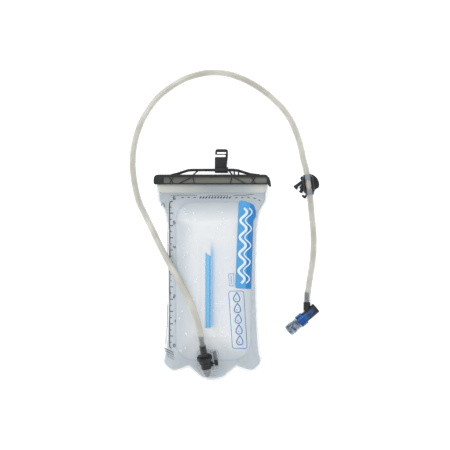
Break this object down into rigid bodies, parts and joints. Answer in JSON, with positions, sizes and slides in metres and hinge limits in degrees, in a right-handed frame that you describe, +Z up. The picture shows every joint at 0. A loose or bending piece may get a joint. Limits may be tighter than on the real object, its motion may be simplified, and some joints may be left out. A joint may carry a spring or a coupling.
{
  "type": "hydration bladder",
  "caption": "Lay-flat clear film water reservoir with slide-seal bar, hanger hook, quick-release port, drinking hose, strap clip and twist-shut bite valve.",
  "frame": {"origin": "on the ground under the middle of the bag (hose line left out)", "axes": "+Z up through the front panel, +Y from the port towards the slide seal and hook, +X to the right seen from above"},
  "size_m": [0.284, 0.4655, 0.0627],
  "materials": {
    "clear_film": "clear welded urethane film, faint haze",
    "clear_rail": "clear extruded strip",
    "clear_port": "clear moulded urethane",
    "blue_baffle": "translucent blue film",
    "smoke_profile": "smoke-tinted extrusion",
    "black_moulding": "satin moulded",
    "black_strap": "matt flexible moulding",
    "spring_steel": "drawn wire",
    "seal_rubber": "moulded",
    "clear_hose": "clear flexible tube",
    "blue_collar": "glossy translucent blue",
    "tinted_core": "moulded",
    "clear_silicone": "clear silicone"
  },
  "bodies": {
    "bag": {"film_front": "clear_film", "film_back": "clear_film", "mouth_rail_front": "clear_rail", "mouth_rail_back": "clear_rail", "baffle": "blue_baffle", "port_housing": "clear_port", "port_socket": "black_moulding", "port_collar": "black_moulding", "socket_seal": "seal_rubber", "valve_spring": "spring_steel", "button_spring": "spring_steel"},
    "slider": {"slider_frame": "black_moulding", "slider_channel": "smoke_profile"},
    "hanger": {"hanger_hook": "black_strap"},
    "button": {"release_button": "black_moulding"},
    "poppet": {"check_valve_poppet": "clear_port"},
    "hose_line": {"hose_plug": "black_moulding", "plug_oring": "seal_rubber", "hose": "clear_hose", "clip_grip": "black_moulding", "valve_elbow": "black_moulding"},
    "strap_clip": {"clip_plate": "black_moulding"},
    "twist_valve": {"valve_collar": "blue_collar", "valve_spool": "tinted_core", "spool_oring_rear": "seal_rubber", "spool_oring_front": "seal_rubber", "bite_piece": "clear_silicone"}
  },
  "joints": [
    {"name": "slider_slide", "type": "slide", "parent": "bag", "child": "slider", "axis": [-1, 0, 0], "range_m": [0, 0.175]},
    {"name": "hanger_swing", "type": "hinge", "parent": "slider", "child": "hanger", "pos_m": [0.0135, 0.1415, 0.024], "axis": [1, 0, 0], "range_deg": [0, 110]},
    {"name": "button_press", "type": "slide", "parent": "bag", "child": "button", "axis": [-0.9854, -0.1702, 0], "range_m": [0, 0.0018], "stiffness_N_per_m": 600, "springref_m": -0.0008, "deforming": ["button_spring"]},
    {"name": "plug_pull", "type": "slide", "parent": "bag", "child": "hose_line", "axis": [-0.1543, 0.8931, 0.4226], "range_m": [0, 0.014]},
    {"name": "poppet_lift", "type": "slide", "parent": "bag", "child": "poppet", "axis": [-0.1543, 0.8931, 0.4226], "range_m": [0, 0.0025], "deforming": ["valve_spring"]},
    {"name": "clip_swivel", "type": "hinge", "parent": "hose_line", "child": "strap_clip", "pos_m": [0.1436, 0.12, 0.0013], "axis": [0, 0, 1], "continuous": true},
    {"name": "valve_twist", "type": "hinge", "parent": "hose_line", "child": "twist_valve", "pos_m": [0.1556, -0.0639, 0.01], "axis": [0.766, 0.6428, 0], "range_deg": [0, 90]}
  ],
  "couplings": [
    {"joint": "poppet_lift", "follows": "plug_pull", "ratio": 0.178}
  ]
}
